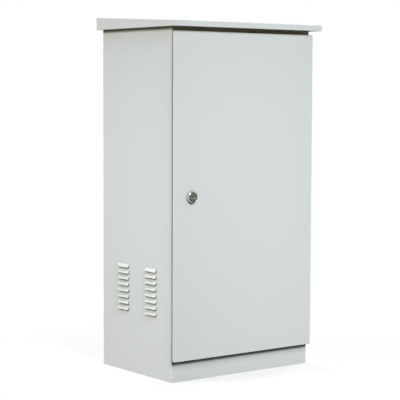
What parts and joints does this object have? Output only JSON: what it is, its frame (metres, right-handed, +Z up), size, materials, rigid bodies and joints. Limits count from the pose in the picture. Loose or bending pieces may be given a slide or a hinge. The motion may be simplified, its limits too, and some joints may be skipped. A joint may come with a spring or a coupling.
{
  "type": "roadside utility cabinet",
  "caption": "Floor-standing sheet steel utility cabinet with one hinged lockable door, louvered sides and a sloping overhanging roof.",
  "frame": {"origin": "middle of the body's footprint on the ground, which is the middle of the four anchor holes", "axes": "+Z up, +X to the right seen from the front, +Y to the back; the door faces -Y"},
  "size_m": [0.54, 0.389, 1.0319],
  "materials": {
    "powder_coat": "satin light grey powder coat",
    "galvanised_sheet": "galvanised sheet with a faint spangle",
    "zinc_plated": "bright zinc plate",
    "bright_chrome": "polished chrome plate",
    "dark_plug": "dark burnished metal",
    "foam_rubber": "matt foam rubber"
  },
  "bodies": {
    "cabinet": {"left_side_panel": "powder_coat", "right_side_panel": "powder_coat", "back_panel": "powder_coat", "top_plate": "powder_coat", "floor_plate": "powder_coat", "front_sill": "powder_coat", "gland_seal": "foam_rubber", "gland_plate": "galvanised_sheet", "gland_studs": "zinc_plated", "gland_nuts": "zinc_plated", "roof": "powder_coat", "left_roof_rail": "powder_coat", "right_roof_rail": "powder_coat", "roof_bolts": "zinc_plated", "roof_nuts": "zinc_plated", "mounting_plate": "galvanised_sheet", "mounting_studs": "zinc_plated", "mounting_nuts": "zinc_plated", "upper_frame_leaf": "zinc_plated", "middle_frame_leaf": "zinc_plated", "lower_frame_leaf": "zinc_plated", "hinge_screws": "zinc_plated", "upper_hinge_pin": "zinc_plated", "middle_hinge_pin": "zinc_plated", "lower_hinge_pin": "zinc_plated", "body_earth_stud": "zinc_plated", "body_earth_nuts": "zinc_plated"},
    "door": {"door_panel": "powder_coat", "door_seal": "foam_rubber", "left_door_rail": "galvanised_sheet", "right_door_rail": "galvanised_sheet", "upper_door_leaf": "zinc_plated", "middle_door_leaf": "zinc_plated", "lower_door_leaf": "zinc_plated", "door_earth_stud": "zinc_plated", "door_earth_nuts": "zinc_plated", "lock_housing": "bright_chrome", "lock_nut": "zinc_plated"},
    "lock": {"lock_plug": "dark_plug", "lock_cam": "zinc_plated", "cam_screw": "zinc_plated"}
  },
  "joints": [
    {"name": "door_swing", "type": "hinge", "parent": "cabinet", "child": "door", "pos_m": [0.25, -0.18, 0.522], "axis": [0, 0, 1], "range_deg": [0, 110]},
    {"name": "lock_turn", "type": "hinge", "parent": "door", "child": "lock", "pos_m": [-0.192, -0.1874, 0.522], "axis": [0, -1, 0], "range_deg": [0, 90]}
  ]
}
